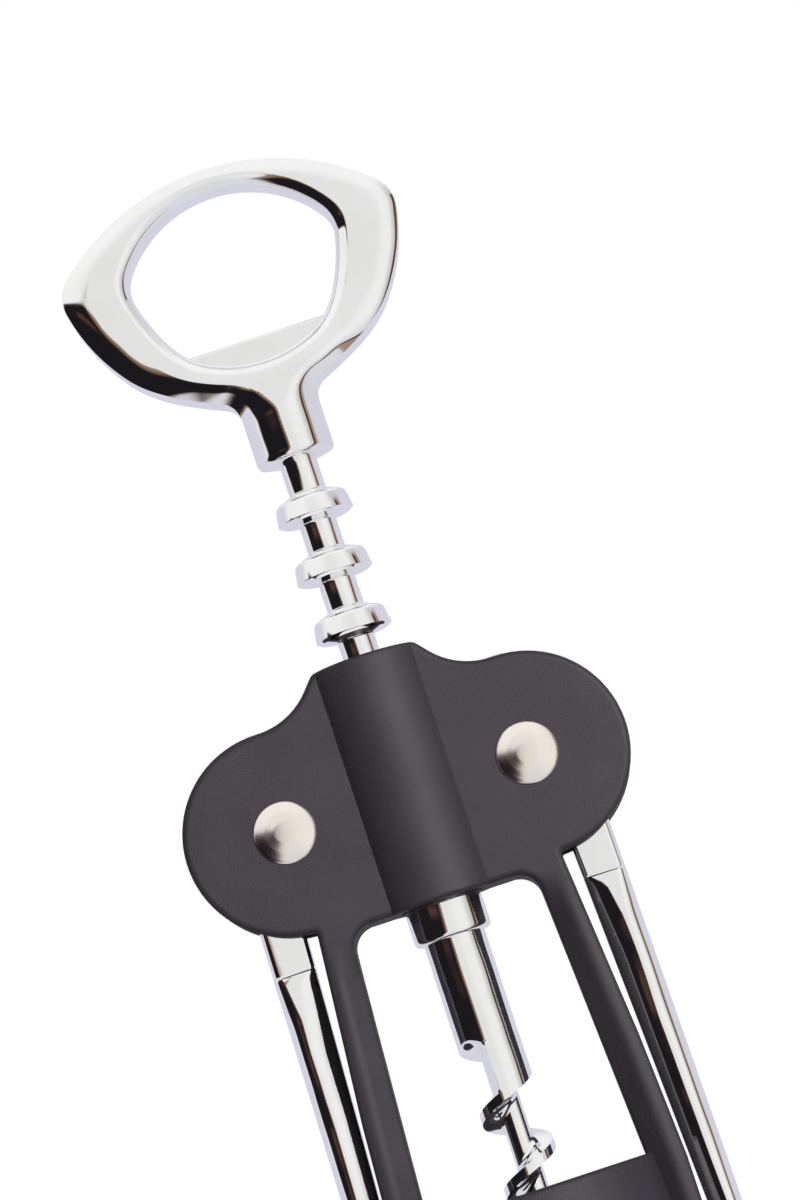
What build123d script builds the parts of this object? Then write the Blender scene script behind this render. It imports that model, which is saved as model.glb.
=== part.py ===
from build123d import *
import math
import os

# Wing corkscrew, millimetres. Z runs up along the screw, X runs across to the two levers and the front
# faces -Y. The origin is the centre of the bell's rim, so the corkscrew stands on the plane z = 0.

# Clearances and fits
RUN = 0.05  # radial, shaft turning in a hole
PRESS = 0.01  # radial, rivet halves and cross pin
GUIDE = 0.30  # radial, rack in the barrel and worm in the neck guide
SIDE = 0.20  # each side of the sectors in their slot
GEAR_ROOM = 0.40  # slot floor beyond the sector's tips
BACKLASH = 0.15  # taken off each sector tooth at the pitch circle
TIP_ROOM = 0.15  # sector tip to rack shaft, and rack tip to sector root
PAST = 1.00  # how far a cutter runs past the face that it opens

# Rack: round rings with straight flanks
RING_PITCH = 8.70
RING_T = 4.10  # axial thickness at the pitch line
RING_R = 5.55
RACK_SHAFT_R = 2.68
RING_COUNT_ABOVE = 5  # rings above the one that is level with the pivots
RING_COUNT_BELOW = 1
RING_EDGE = 0.60
PRESSURE_ANGLE = 20.0
COLLAR_H = 7.20
COLLAR_DROP = 20.20  # from the pivot-level ring's middle down to the collar's end
COLLAR_EDGE = 0.80

# Toothed sector of each lever
SECTOR_TEETH = 10  # on a full circle
TOOTH_COUNT = 5  # teeth that are cut
SECTOR_T = 5.00
BACK_DROP = 1.40  # untoothed part of the sector, below the tip circle
BACK_START = 0.20  # of a pitch, from the last tooth's middle to the untoothed part
SECTOR_MODULE = RING_PITCH / math.pi
PITCH_R = SECTOR_MODULE * SECTOR_TEETH / 2

# Frame
PIVOT_X = 17.70
PIVOT_Z = 85.50
MESH_DROP = 0.70  # the pivot-level ring sits this far below the pivots
LOBE_R = 14.40
PLATE_T = 10.80
PLATE_EDGE = 0.90
BARREL_WALL = 3.00
BARREL_EDGE = 0.60
BARREL_TOP_W = 14.80
BARREL_ABOVE = 20.00  # barrel top above the pivots
BARREL_BELOW = 15.60  # plate and barrel underside below the pivots
SHOULDER_SLOPE = 49.0
SHOULDER_R = 10.50
SHOULDER_EDGE = 1.50
LEG_W = 5.20
LEG_TOP_W = 4.45  # under the plate
LEG_FULL_Z = 44.00  # where it has reached its full width
LEG_D = 10.40  # at its crest
LEG_CREST = 0.62  # share of the width from the inner side to the crest
LEG_INNER_D = 6.20
LEG_OUTER_D = 9.40
LEG_CREST_R = 2.00
LEG_EDGE_R = 0.80
LEG_TOP_X = 13.45  # inner side of the leg under the plate
LEG_LEAN = 3.20  # degrees, outwards going down
RIB_DROP = 2.00  # the ribs stand upright from this far below the bell's top
RIB_RUNOUT = 5.00
RIB_END_Z = 1.50
WINDOW_CORNER_R = 3.20
SLOT_MOUTH = 0.90  # from the leg's outer side to the slot

# Bell and neck guide
BELL_H = 28.00
BELL_TOP_R = 17.20
BELL_RIM_R = 18.20
BELL_EDGE = 0.80
NECK_R = 14.90
NECK_DEPTH = 15.00
RIM_CHAMFER = 0.60
GUIDE_SHOULDER = 0.60  # the liner's pocket is this much narrower than the neck bore
BELL_ROOF = 4.00
GUIDE_FIT = 0.05
GUIDE_FLOOR = 3.50
GUIDE_SPIGOT_R = 7.50
GUIDE_LIP = 1.80  # width of the liner's lower rim

# Rivets
RIVET_R = 2.50
RIVET_BORE_R = 1.50
RIVET_HEAD_R = 4.40
RIVET_RIM_T = 0.45
RIVET_DOME = 1.00
RIVET_END_ROOM = 0.40

# Lever arm, measured outwards from the pivot
ARM_OUT_TOP = 8.05
ARM_OUT_LEAN = 0.80  # degrees
ARM_IN_TOP = 2.00
ARM_IN_LEAN = 2.55
ARM_STEP_DROP = 18.80  # from the pivot down to the step
ARM_RAMP = 0.50
ARM_TOP_D = 7.60
ARM_MID_D = 8.60
ARM_END_D = 10.60
ARM_INNER_R_TOP = 0.70
ARM_INNER_R_MID = 1.90
ARM_INNER_R_LOW = 1.30
ARM_OUTER_R_TOP = 1.20
ARM_OUTER_R_LOW = 3.10
ARM_END_Z = 4.50
ARM_END_R = 0.80
ARM_FLAT = 0.60  # least flat left on the outer side between its round corners

# Worm
ROD_R = 1.75
WORM_R = 4.40
WORM_CORE_R = 1.72
WORM_PITCH = 10.70
FLIGHT_T = 1.40
FLIGHT_ROOT_R = 1.60
SHANK_LENGTH = 13.20  # from the shoulder under the collar to the groove's upper edge
GROOVE_START_ANGLE = 258.0
WORM_TIP_Z = 15.60
WORM_POINT = 9.00
WORM_POINT_R = 0.50

# Handle
STEM_W = 11.30
STEM_D = 11.00
STEM_ROUND = 4.00  # of its upright corners
STEM_FLAT = 0.60  # least flat left between two of them
STEM_FOOT_R = 1.00
STEM_ABOVE = 30.00  # stem end above the barrel
STEM_H = 9.40
SOCKET_ROOM = 0.25
SOCKET_DEPTH = 2.30
SLEEVE_IN_SOCKET = 2.00
ROD_IN_STEM = 12.50
RING_D = 8.00
HANDLE_H = 43.80
HANDLE_W = 49.90
HANDLE_TOP_R = 34.00
HANDLE_SIDE_R = 28.00
HANDLE_CORNER_R = 2.60
HANDLE_CORNER_IN = 0.65  # end of the top arc, in from the widest point
HANDLE_CORNER_DROP = 1.60  # and above it
HANDLE_HIP_X = 13.00
HANDLE_HIP_H = 12.45
HANDLE_THROAT_R = 1.50
EYE_TOP_BAND = 3.30
EYE_W = 30.60
EYE_WIDEST_H = 30.00
EYE_TOP_R = 17.50
EYE_SIDE_R = 30.00
EYE_CORNER_R = 2.50
EYE_CORNER_IN = 2.50  # end of the eye's top arc, in from its widest point
EYE_FLOOR_BAND = 5.60
HANDLE_BEVEL = 1.20
LIP_H = 18.80
LIP_HALF_W = 10.60
LIP_T = 2.40
PIN_R = 0.80
PIN_H = 6.20
PIN_RECESS = 0.10

# Heights and radii that follow from the values above
BARREL_R = RING_R + GUIDE + BARREL_WALL
BARREL_TOP_Z = PIVOT_Z + BARREL_ABOVE
PLATE_BOTTOM_Z = PIVOT_Z - BARREL_BELOW
SLOT_HALF = SECTOR_T / 2 + SIDE
SECTOR_TIP_R = PIVOT_X - RACK_SHAFT_R - TIP_ROOM
SECTOR_ROOT_R = PIVOT_X - RING_R - TIP_ROOM
SLOT_R = SECTOR_TIP_R + GEAR_ROOM
PITCH_LINE_R = PIVOT_X - PITCH_R
RING_Z0 = PIVOT_Z - MESH_DROP
COLLAR_Z = RING_Z0 - COLLAR_DROP
STEM_Z = BARREL_TOP_Z + STEM_ABOVE
SLEEVE_TOP_Z = STEM_Z + SLEEVE_IN_SOCKET
ROD_TOP_Z = STEM_Z + ROD_IN_STEM
PIN_Z = STEM_Z + PIN_H
RIVET_HOLE_R = RIVET_R + RUN
LEG_SHIFT = math.tan(math.radians(LEG_LEAN))
RIB_TOP_Z = BELL_H - RIB_DROP


def mirrored(shape):
    """The same shape on the other side of the screw."""
    return shape.mirror(Plane.YZ)


def upright(sketch, depth):
    """A front-view outline, extruded evenly to both sides of the middle plane."""
    return extrude(Plane.XZ * sketch, depth / 2, both=True)


def along_y(radius, length, x, z):
    """A round bar from front to back through the point (x, z)."""
    return Pos(x, 0, z) * Rot(90, 0, 0) * Cylinder(radius, length)


def disc(radius, z_low, z_high):
    """A round bar on the screw's axis."""
    return Pos(0, 0, (z_low + z_high) / 2) * Cylinder(radius, z_high - z_low)


def turned(points):
    """A solid turned about the screw's axis from a closed (radius, z) outline."""
    return revolve(Plane.XZ * make_face(Polyline(*points, close=True)), Axis.Z)


def leg_sides(z):
    """Inner and outer side of the right leg at height z: leaning and narrower towards the plate, and
    upright below the bell's shoulder."""
    inner = LEG_TOP_X + (PLATE_BOTTOM_Z - max(z, RIB_TOP_Z)) * LEG_SHIFT
    share = max(0, z - LEG_FULL_Z) / (PLATE_BOTTOM_Z - LEG_FULL_Z)
    return inner, inner + LEG_W - (LEG_W - LEG_TOP_W) * share


# Frame


def shoulder_centre():
    """Centre of the hollow round that runs from the right shoulder's slope into the lobe."""
    slope = math.radians(SHOULDER_SLOPE)
    start_x = BARREL_TOP_W / 2 + SHOULDER_R * math.sin(slope) - PIVOT_X
    start_z = BARREL_ABOVE + SHOULDER_R * math.cos(slope)
    along = start_x * math.cos(slope) - start_z * math.sin(slope)
    reach = (LOBE_R + SHOULDER_R) ** 2 - start_x**2 - start_z**2 + along**2
    run = -along - math.sqrt(reach)
    return PIVOT_X + start_x + run * math.cos(slope), PIVOT_Z + start_z - run * math.sin(slope)


def frame_outline():
    """Front view of the two lobes, the shoulders and the barrel's block."""
    slope = math.radians(SHOULDER_SLOPE)
    x, z = shoulder_centre()
    share = LOBE_R / (LOBE_R + SHOULDER_R)
    foot = leg_sides(PLATE_BOTTOM_Z)[1]
    block = Polygon(
        (0, BARREL_TOP_Z),
        (BARREL_TOP_W / 2, BARREL_TOP_Z),
        (x - SHOULDER_R * math.sin(slope), z - SHOULDER_R * math.cos(slope)),
        (x, z),
        (PIVOT_X + (x - PIVOT_X) * share, PIVOT_Z + (z - PIVOT_Z) * share),
        (foot, PIVOT_Z - LOBE_R + PLATE_EDGE),
        (foot, PLATE_BOTTOM_Z),
        (0, PLATE_BOTTOM_Z),
        align=None,
    )
    right = block + Pos(PIVOT_X, PIVOT_Z) * Circle(LOBE_R) - Pos(x, z) * Circle(SHOULDER_R)
    outline = right + mirrored(right)
    top = [v for v in outline.vertices() if v.Y > BARREL_TOP_Z - 0.01 and abs(v.X) > 1]
    return fillet(top, SHOULDER_EDGE)


def slot_cutter():
    """Space for the right sector between the cheeks, open outwards."""
    reach = LOBE_R * 2
    mouth = leg_sides(PLATE_BOTTOM_Z)[1] + SLOT_MOUTH
    low = PLATE_BOTTOM_Z - PAST
    gap = Pos(mouth + reach / 2, low + reach) * Rectangle(reach, reach * 2)
    return upright(Pos(PIVOT_X, PIVOT_Z) * Circle(SLOT_R) + gap, SLOT_HALF * 2)


def leg_section(z):
    """Right leg cut across: a crest on front and rear, from which the faces fall steeply inwards and
    gently outwards."""
    inner, outer = leg_sides(z)
    crest = inner + (outer - inner) * LEG_CREST
    front = [(inner, LEG_INNER_D / 2), (crest, LEG_D / 2), (outer, LEG_OUTER_D / 2)]
    rear = [(x, -y) for x, y in reversed(front)]
    shape = Polygon(*front, *rear, align=None)
    shape = fillet([v for v in shape.vertices() if abs(v.X - crest) < 0.01], LEG_CREST_R)
    edges = [v for v in shape.vertices() if min(abs(v.X - inner), abs(v.X - outer)) < 0.01]
    return Pos(0, 0, z) * fillet(edges, LEG_EDGE_R)


def leg():
    """Right leg and the rib that it becomes on the bell."""
    heights = (PLATE_BOTTOM_Z + PLATE_EDGE, LEG_FULL_Z, RIB_TOP_Z, RIB_END_Z)
    body = loft([leg_section(z) for z in heights], ruled=True)
    outside = leg_sides(0)[1]
    runout = Polygon(
        (BELL_RIM_R, RIB_END_Z),
        (outside + LEG_W / 2, RIB_END_Z),
        (outside, RIB_END_Z + RIB_RUNOUT),
        align=None,
    )
    return body - upright(runout, LEG_D)


def window_web():
    """Solid web with a hollow round in the window's upper corner, up to the inner side of the right leg."""
    radius, lean = WINDOW_CORNER_R, math.radians(LEG_LEAN)
    z = PLATE_BOTTOM_Z - radius
    x = leg_sides(z)[0] - radius / math.cos(lean)
    low = z + radius * math.sin(lean)
    block = Pos(x + radius, (PLATE_BOTTOM_Z + low) / 2) * Rectangle(2 * radius, PLATE_BOTTOM_Z - low)
    return upright(block - Pos(x, z) * Circle(radius), LEG_INNER_D)


def bell():
    """Bell wall, roof and the pocket for the neck guide."""
    pocket_r = NECK_R - GUIDE_SHOULDER
    roof_z = BELL_H - BELL_ROOF
    outside = [(0, BELL_H), (BELL_TOP_R, BELL_H), (BELL_RIM_R, 0), (0, 0)]
    body = turned(outside)
    body = fillet(body.edges().filter_by(GeomType.CIRCLE).group_by(Axis.Z)[-1], BELL_EDGE)
    inside = [
        (0, -PAST),
        (NECK_R + RIM_CHAMFER + PAST, -PAST),
        (NECK_R, RIM_CHAMFER),
        (NECK_R, NECK_DEPTH),
        (pocket_r, NECK_DEPTH),
        (pocket_r, roof_z),
        (GUIDE_SPIGOT_R, roof_z),
        (GUIDE_SPIGOT_R, BELL_H + PAST),
        (0, BELL_H + PAST),
    ]
    return body, turned(inside)


def frame():
    """One casting: cheeks, barrel, legs and bell."""
    outline = frame_outline()
    plate = upright(outline, PLATE_T)
    rim = plate.edges().filter_by(Plane.XZ)
    rim = [e for e in rim if e.center().Z > PLATE_BOTTOM_Z + 0.5 or abs(e.center().X) < 0.1]
    plate = fillet(rim, PLATE_EDGE)
    barrel = disc(BARREL_R, PLATE_BOTTOM_Z, BARREL_TOP_Z)
    barrel = fillet(barrel.edges().filter_by(GeomType.CIRCLE), BARREL_EDGE)
    barrel &= upright(outline, BARREL_R * 2 + 2)
    right = leg() + window_web()
    bell_body, bell_hollow = bell()
    body = plate + barrel + right + mirrored(right) + bell_body
    body -= bell_hollow
    body -= disc(RING_R + GUIDE, PLATE_BOTTOM_Z - PAST, BARREL_TOP_Z + PAST)
    slot = slot_cutter()
    hole = along_y(RIVET_HOLE_R, PLATE_T * 2, PIVOT_X, PIVOT_Z)
    for cutter in (slot, mirrored(slot), hole, mirrored(hole)):
        body -= cutter
    return body


def neck_guide():
    """Plastic liner: a cone that centres the bottle's neck and a sleeve that guides the worm."""
    roof_z = BELL_H - BELL_ROOF
    outer_r = NECK_R - GUIDE_SHOULDER - GUIDE_FIT
    hole_r = WORM_R + GUIDE
    return turned(
        [
            (hole_r, BELL_H),
            (GUIDE_SPIGOT_R - GUIDE_FIT, BELL_H),
            (GUIDE_SPIGOT_R - GUIDE_FIT, roof_z),
            (outer_r, roof_z),
            (outer_r, NECK_DEPTH),
            (outer_r - GUIDE_LIP, NECK_DEPTH),
            (hole_r + GUIDE_LIP, roof_z - GUIDE_FLOOR),
            (hole_r, roof_z - GUIDE_FLOOR),
        ]
    )


# Rivets


def rivet_half(shank_r, shank_end, bore_r):
    """Domed head on the plane z = 0 with a shank below it, turned about Z; the shank may be a tube."""
    rim_z, dome_z = RIVET_RIM_T, RIVET_RIM_T + RIVET_DOME
    floor_z = -RIVET_END_ROOM
    dome = TangentArc((0, dome_z), (RIVET_HEAD_R, rim_z), tangent=(1, 0))
    side = [(RIVET_HEAD_R, rim_z), (RIVET_HEAD_R, 0), (shank_r, 0), (shank_r, shank_end)]
    if bore_r > 0:
        side += [(bore_r, shank_end), (bore_r, floor_z), (0, floor_z)]
    else:
        side.append((0, shank_end))
    outline = Curve() + [dome, Polyline(*side), Line(side[-1], (0, dome_z))]
    return revolve(Plane.XZ * make_face(outline), Axis.Z)


def rivet_post():
    """Tube half of the right rivet, with the front head."""
    half = rivet_half(RIVET_R, -PLATE_T, RIVET_BORE_R)
    return Pos(PIVOT_X, -PLATE_T / 2, PIVOT_Z) * Rot(90, 0, 0) * half


def rivet_cap():
    """Solid half of the right rivet, with the rear head."""
    half = rivet_half(RIVET_BORE_R - PRESS, -PLATE_T + 2 * RIVET_END_ROOM, 0)
    return Pos(PIVOT_X, PLATE_T / 2, PIVOT_Z) * Rot(-90, 0, 0) * half


# Levers


def involute_angle(radius):
    """Polar angle that a tooth flank turns through from the base circle out to radius."""
    base = PITCH_R * math.cos(math.radians(PRESSURE_ANGLE))
    slope = math.acos(min(1.0, base / radius))
    return math.tan(slope) - slope


def sector_tooth(angle):
    """One involute tooth, pointing at angle (degrees) about the pivot."""
    base = PITCH_R * math.cos(math.radians(PRESSURE_ANGLE))
    half_pitch = (math.pi * SECTOR_MODULE / 2 - BACKLASH) / (2 * PITCH_R)
    offset = half_pitch + involute_angle(PITCH_R)

    def flank(radius, side):
        turn = math.radians(angle) + side * (offset - involute_angle(radius))
        return (radius * math.cos(turn), radius * math.sin(turn))

    middle = (base + SECTOR_TIP_R) / 2
    root = SECTOR_ROOT_R - PAST
    edge = [Line(flank(root, -1), flank(base, -1))]
    edge.append(ThreePointArc(flank(base, -1), flank(middle, -1), flank(SECTOR_TIP_R, -1)))
    edge.append(Line(flank(SECTOR_TIP_R, -1), flank(SECTOR_TIP_R, 1)))
    edge.append(ThreePointArc(flank(SECTOR_TIP_R, 1), flank(middle, 1), flank(base, 1)))
    edge.append(Line(flank(base, 1), flank(root, 1)))
    edge.append(Line(flank(root, 1), flank(root, -1)))
    return make_face(Curve() + edge)


def sector():
    """Right lever's toothed sector, about its own pivot, teeth towards the screw."""
    step = 360 / SECTOR_TEETH
    mesh = 180 + math.degrees(MESH_DROP / PITCH_R)
    shape = Circle(SECTOR_ROOT_R)
    for i in range(TOOTH_COUNT):
        shape += sector_tooth(mesh + step / 2 - i * step)
    low = math.radians(mesh + step)
    high = math.radians(mesh - (TOOTH_COUNT - BACK_START) * step)
    reach = SECTOR_TIP_R * 2
    wedge = Polygon(
        (0, 0),
        (reach * math.cos(low), reach * math.sin(low)),
        (reach, -reach),
        (reach * math.cos(high), reach * math.sin(high)),
        align=None,
    )
    return shape + (Circle(SECTOR_TIP_R - BACK_DROP) & wedge)


def arm_inner(drop):
    """Inner edge of the right arm, outwards from the pivot, at a height below it."""
    return ARM_IN_TOP + (drop - ARM_STEP_DROP) * math.tan(math.radians(ARM_IN_LEAN))


def arm_outer(drop):
    """Outer edge of the right arm, outwards from the pivot, at a height below it."""
    return ARM_OUT_TOP + (drop - ARM_STEP_DROP) * math.tan(math.radians(ARM_OUT_LEAN))


def arm_section(drop, depth, outer_r, inner_r):
    """Arm cut across at a height, with round corners that are larger on its outer side."""
    inner, outer = arm_inner(drop), arm_outer(drop)
    width = outer - inner
    shape = Rectangle(width, depth)
    round_r = min(outer_r, width - inner_r - ARM_FLAT, (depth - ARM_FLAT) / 2)
    shape = fillet(shape.vertices().group_by(Axis.X)[-1], round_r)
    shape = fillet(shape.vertices().group_by(Axis.X)[0], inner_r)
    return Pos(PIVOT_X + (inner + outer) / 2, 0, PIVOT_Z - drop) * shape


def lever():
    """Right lever: sector, land between the cheeks, step and arm."""
    land_low = ARM_STEP_DROP + ARM_RAMP
    land = Polygon(
        (arm_inner(0), 0),
        (arm_inner(land_low), -land_low),
        (arm_outer(land_low), -land_low),
        (arm_outer(0), 0),
        align=None,
    )
    blade = upright(Pos(PIVOT_X, PIVOT_Z) * (sector() + land), SECTOR_T)
    end = PIVOT_Z - ARM_END_Z
    middle = (land_low + end) / 2
    ledge = arm_section(ARM_STEP_DROP, SECTOR_T, ARM_OUTER_R_TOP, ARM_INNER_R_TOP)
    top = arm_section(land_low, ARM_TOP_D, ARM_OUTER_R_TOP, ARM_INNER_R_TOP)
    waist = arm_section(middle, ARM_MID_D, ARM_OUTER_R_LOW, ARM_INNER_R_MID)
    foot = arm_section(end, ARM_END_D, ARM_OUTER_R_LOW, ARM_INNER_R_LOW)
    ramp = loft([ledge, top], ruled=True)
    arm = loft([top, waist, foot], ruled=True)
    arm = fillet(arm.edges().group_by(Axis.Z)[0], ARM_END_R)
    body = blade + ramp + arm
    return body - along_y(RIVET_HOLE_R, PLATE_T * 2, PIVOT_X, PIVOT_Z)


# Rack


def rack_ring(z):
    """Round rack tooth: straight flanks, bevelled rim."""
    slope = math.tan(math.radians(PRESSURE_ANGLE))
    tip = RING_T / 2 - (RING_R - PITCH_LINE_R) * slope
    root = RING_T / 2 + (PITCH_LINE_R - RACK_SHAFT_R) * slope
    inner = (ROD_R + RACK_SHAFT_R) / 2
    face = Polygon(
        (inner, z - root),
        (RACK_SHAFT_R, z - root),
        (RING_R, z - tip),
        (RING_R, z + tip),
        (RACK_SHAFT_R, z + root),
        (inner, z + root),
        align=None,
    )
    face = chamfer(face.vertices().group_by(Axis.X)[-1], RING_EDGE)
    return revolve(Plane.XZ * face, Axis.Z)


def rack_sleeve():
    """Tube with the rack's rings and the collar at its lower end."""
    body = disc(RACK_SHAFT_R, COLLAR_Z, SLEEVE_TOP_Z)
    collar = disc(RING_R, COLLAR_Z, COLLAR_Z + COLLAR_H)
    body += fillet(collar.edges().filter_by(GeomType.CIRCLE), COLLAR_EDGE)
    for i in range(-RING_COUNT_BELOW, RING_COUNT_ABOVE + 1):
        body += rack_ring(RING_Z0 + i * RING_PITCH)
    return body - disc(ROD_R + RUN, COLLAR_Z - PAST, SLEEVE_TOP_Z + PAST)


# Worm


def groove_section(z):
    """Section of the milled groove in the half-plane y = 0, round where it meets the core."""
    depth = WORM_R - WORM_CORE_R + 2 * PAST
    shape = Pos(WORM_CORE_R + depth / 2, 0) * Rectangle(depth, WORM_PITCH - FLIGHT_T)
    shape = fillet(shape.vertices().group_by(Axis.X)[0], FLIGHT_ROOT_R)
    return Plane(origin=(0, 0, z), x_dir=(1, 0, 0), z_dir=(0, -1, 0)) * shape


def groove_cutter(top_z):
    """Right-handed groove, from its upper end at GROOVE_START_ANGLE down past the worm's point."""
    low_z = WORM_TIP_Z - WORM_PITCH
    length = top_z - low_z
    path = Helix(WORM_PITCH, length, WORM_R, center=(0, 0, low_z))
    cutter = sweep(groove_section(low_z), path, is_frenet=True)
    return Rot(0, 0, GROOVE_START_ANGLE - 360 * length / WORM_PITCH) * cutter


def worm():
    """Rod, shank and the auger that is left between the turns of one milled groove."""
    blank = turned(
        [
            (0, COLLAR_Z),
            (WORM_R, COLLAR_Z),
            (WORM_R, WORM_TIP_Z + WORM_POINT),
            (WORM_POINT_R, WORM_TIP_Z),
            (0, WORM_TIP_Z),
        ]
    )
    blank -= groove_cutter(COLLAR_Z - SHANK_LENGTH - (WORM_PITCH - FLIGHT_T) / 2)
    rod = disc(ROD_R, COLLAR_Z, ROD_TOP_Z)
    rod -= Pos(0, 0, PIN_Z) * Rot(0, 90, 0) * Cylinder(PIN_R + PRESS, STEM_W)
    return blank + rod


# Handle


def handle_outline():
    """Front view of the ring and the stem, without the eye."""
    half, stem = HANDLE_W / 2, STEM_W / 2
    top_z = STEM_Z + HANDLE_H
    corner_x = half - HANDLE_CORNER_IN
    brow_z = top_z - HANDLE_TOP_R + math.sqrt(HANDLE_TOP_R**2 - corner_x**2)
    corner_z = brow_z - HANDLE_CORNER_DROP
    hip_z = STEM_Z + HANDLE_HIP_H
    throat_z = STEM_Z + STEM_H
    right = [
        RadiusArc((0, top_z), (corner_x, brow_z), HANDLE_TOP_R),
        Line((corner_x, brow_z), (half, corner_z)),
        RadiusArc((half, corner_z), (HANDLE_HIP_X, hip_z), HANDLE_SIDE_R),
        Line((HANDLE_HIP_X, hip_z), (stem, throat_z)),
        Line((stem, throat_z), (stem, STEM_Z)),
        Line((stem, STEM_Z), (0, STEM_Z)),
        Line((0, STEM_Z), (0, top_z)),
    ]
    face = make_face(Curve() + right)
    face += mirrored(face)
    corners = [v for v in face.vertices() if abs(v.X) > corner_x - 0.01]
    face = fillet(corners, HANDLE_CORNER_R)
    throat = [v for v in face.vertices() if abs(v.Y - throat_z) < 0.01]
    return fillet(throat, HANDLE_THROAT_R)


def eye_outline():
    """Front view of the opening, down to its lower arc behind which the lip stands."""
    top_z = STEM_Z + HANDLE_H - EYE_TOP_BAND
    wide_z = STEM_Z + EYE_WIDEST_H
    lip_z = STEM_Z + LIP_H
    floor_z = STEM_Z + STEM_H + EYE_FLOOR_BAND
    half = EYE_W / 2
    brow_x = half - EYE_CORNER_IN
    brow_z = top_z - EYE_TOP_R + math.sqrt(EYE_TOP_R**2 - brow_x**2)
    right = [
        RadiusArc((0, top_z), (brow_x, brow_z), EYE_TOP_R),
        Line((brow_x, brow_z), (half, wide_z)),
        RadiusArc((half, wide_z), (LIP_HALF_W, lip_z), EYE_SIDE_R),
        ThreePointArc((LIP_HALF_W, lip_z), (LIP_HALF_W / 2, floor_z + (lip_z - floor_z) / 4), (0, floor_z)),
        Line((0, floor_z), (0, top_z)),
    ]
    face = make_face(Curve() + right)
    face += mirrored(face)
    brows = [v for v in face.vertices() if abs(v.X) > brow_x - 0.01 and v.Y > wide_z - 0.01]
    return fillet(brows, EYE_CORNER_R)


def front_edges(body, depth):
    """Edges of a flat body that lie in its front or rear face."""
    return [e for e in body.edges() if abs(abs(e.center().Y) - depth / 2) < 0.01]


def stem_section(z, depth):
    """Stem cut across: a rectangle with round corners."""
    shape = Rectangle(STEM_W, depth)
    round_r = min(STEM_ROUND, (depth - STEM_FLAT) / 2)
    return Pos(0, 0, z) * fillet(shape.vertices(), round_r)


def eye_cutter():
    """The opening, with its bevels on the front and rear edges."""
    outline = eye_outline()
    bevel_y = RING_D / 2 - HANDLE_BEVEL
    flare = extrude(Plane.XZ.offset(bevel_y) * outline, HANDLE_BEVEL + PAST / 2, taper=-45)
    return upright(outline, RING_D) + flare + flare.mirror(Plane.XZ)


def lip():
    """Thin web across the foot of the opening, whose straight upper edge lifts a cap."""
    top, low = STEM_Z + LIP_H, STEM_Z + STEM_H
    half = LIP_HALF_W + HANDLE_BEVEL
    face = Polygon((-half, top), (half, top), (half, low), (-half, low), align=None)
    return upright(face & handle_outline(), LIP_T)


def handle():
    """One casting: cap-lifter ring with its lip, and the stem that the rod is pinned into."""
    ring = upright(handle_outline(), RING_D)
    ring = chamfer(front_edges(ring, RING_D), HANDLE_BEVEL) - eye_cutter()
    throat_z = STEM_Z + STEM_H
    low, throat = stem_section(STEM_Z, STEM_D), stem_section(throat_z, STEM_D)
    saddle = stem_section(throat_z + EYE_FLOOR_BAND - HANDLE_BEVEL, RING_D - HANDLE_BEVEL)
    block = loft([low, throat], ruled=True)
    block = fillet(block.edges().group_by(Axis.Z)[0], STEM_FOOT_R)
    stem = block + loft([throat, saddle], ruled=True)
    body = ring + lip() + stem
    body -= disc(RACK_SHAFT_R + SOCKET_ROOM, STEM_Z - PAST, STEM_Z + SOCKET_DEPTH)
    body -= disc(ROD_R + PRESS, STEM_Z, ROD_TOP_Z + PRESS)
    return body - Pos(0, 0, PIN_Z) * Rot(0, 90, 0) * Cylinder(PIN_R + PRESS, HANDLE_W)


def handle_pin():
    """Cross pin through the stem and the rod."""
    length = STEM_W - 2 * PIN_RECESS
    return Pos(0, 0, PIN_Z) * Rot(0, 90, 0) * Cylinder(PIN_R, length)


def main():
    os.makedirs("parts", exist_ok=True)
    right_lever, post, cap = lever(), rivet_post(), rivet_cap()
    parts = {
        "frame": frame(),
        "neck_guide": neck_guide(),
        "lever_left": mirrored(right_lever),
        "lever_right": right_lever,
        "rivet_post_left": mirrored(post),
        "rivet_post_right": post,
        "rivet_cap_left": mirrored(cap),
        "rivet_cap_right": cap,
        "rack_sleeve": rack_sleeve(),
        "worm": worm(),
        "handle": handle(),
        "handle_pin": handle_pin(),
    }
    for name, shape in parts.items():
        export_step(shape, f"parts/{name}.step")


main()
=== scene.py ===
import math

import bpy
import numpy as np
from mathutils import Matrix, Vector


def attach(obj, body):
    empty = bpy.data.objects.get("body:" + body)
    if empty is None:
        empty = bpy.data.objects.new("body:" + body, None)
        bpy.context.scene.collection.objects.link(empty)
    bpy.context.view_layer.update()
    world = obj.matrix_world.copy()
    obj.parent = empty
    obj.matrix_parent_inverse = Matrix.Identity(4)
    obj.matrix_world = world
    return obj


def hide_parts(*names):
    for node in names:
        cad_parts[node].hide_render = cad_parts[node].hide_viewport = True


# Looks of the wing corkscrew. Sizes are in millimetres and become metres as a mesh is made. The origin is the
# centre of the bell's rim, Z runs up along the screw, X across the two levers, and the front faces -Y.

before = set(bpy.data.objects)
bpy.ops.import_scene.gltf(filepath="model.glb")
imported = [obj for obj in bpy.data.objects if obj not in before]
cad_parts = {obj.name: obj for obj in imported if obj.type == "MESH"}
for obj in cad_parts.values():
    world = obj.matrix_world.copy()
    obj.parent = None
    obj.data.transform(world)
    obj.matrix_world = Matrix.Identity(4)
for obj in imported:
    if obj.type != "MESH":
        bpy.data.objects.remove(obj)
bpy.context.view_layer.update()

MM = 0.001

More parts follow.
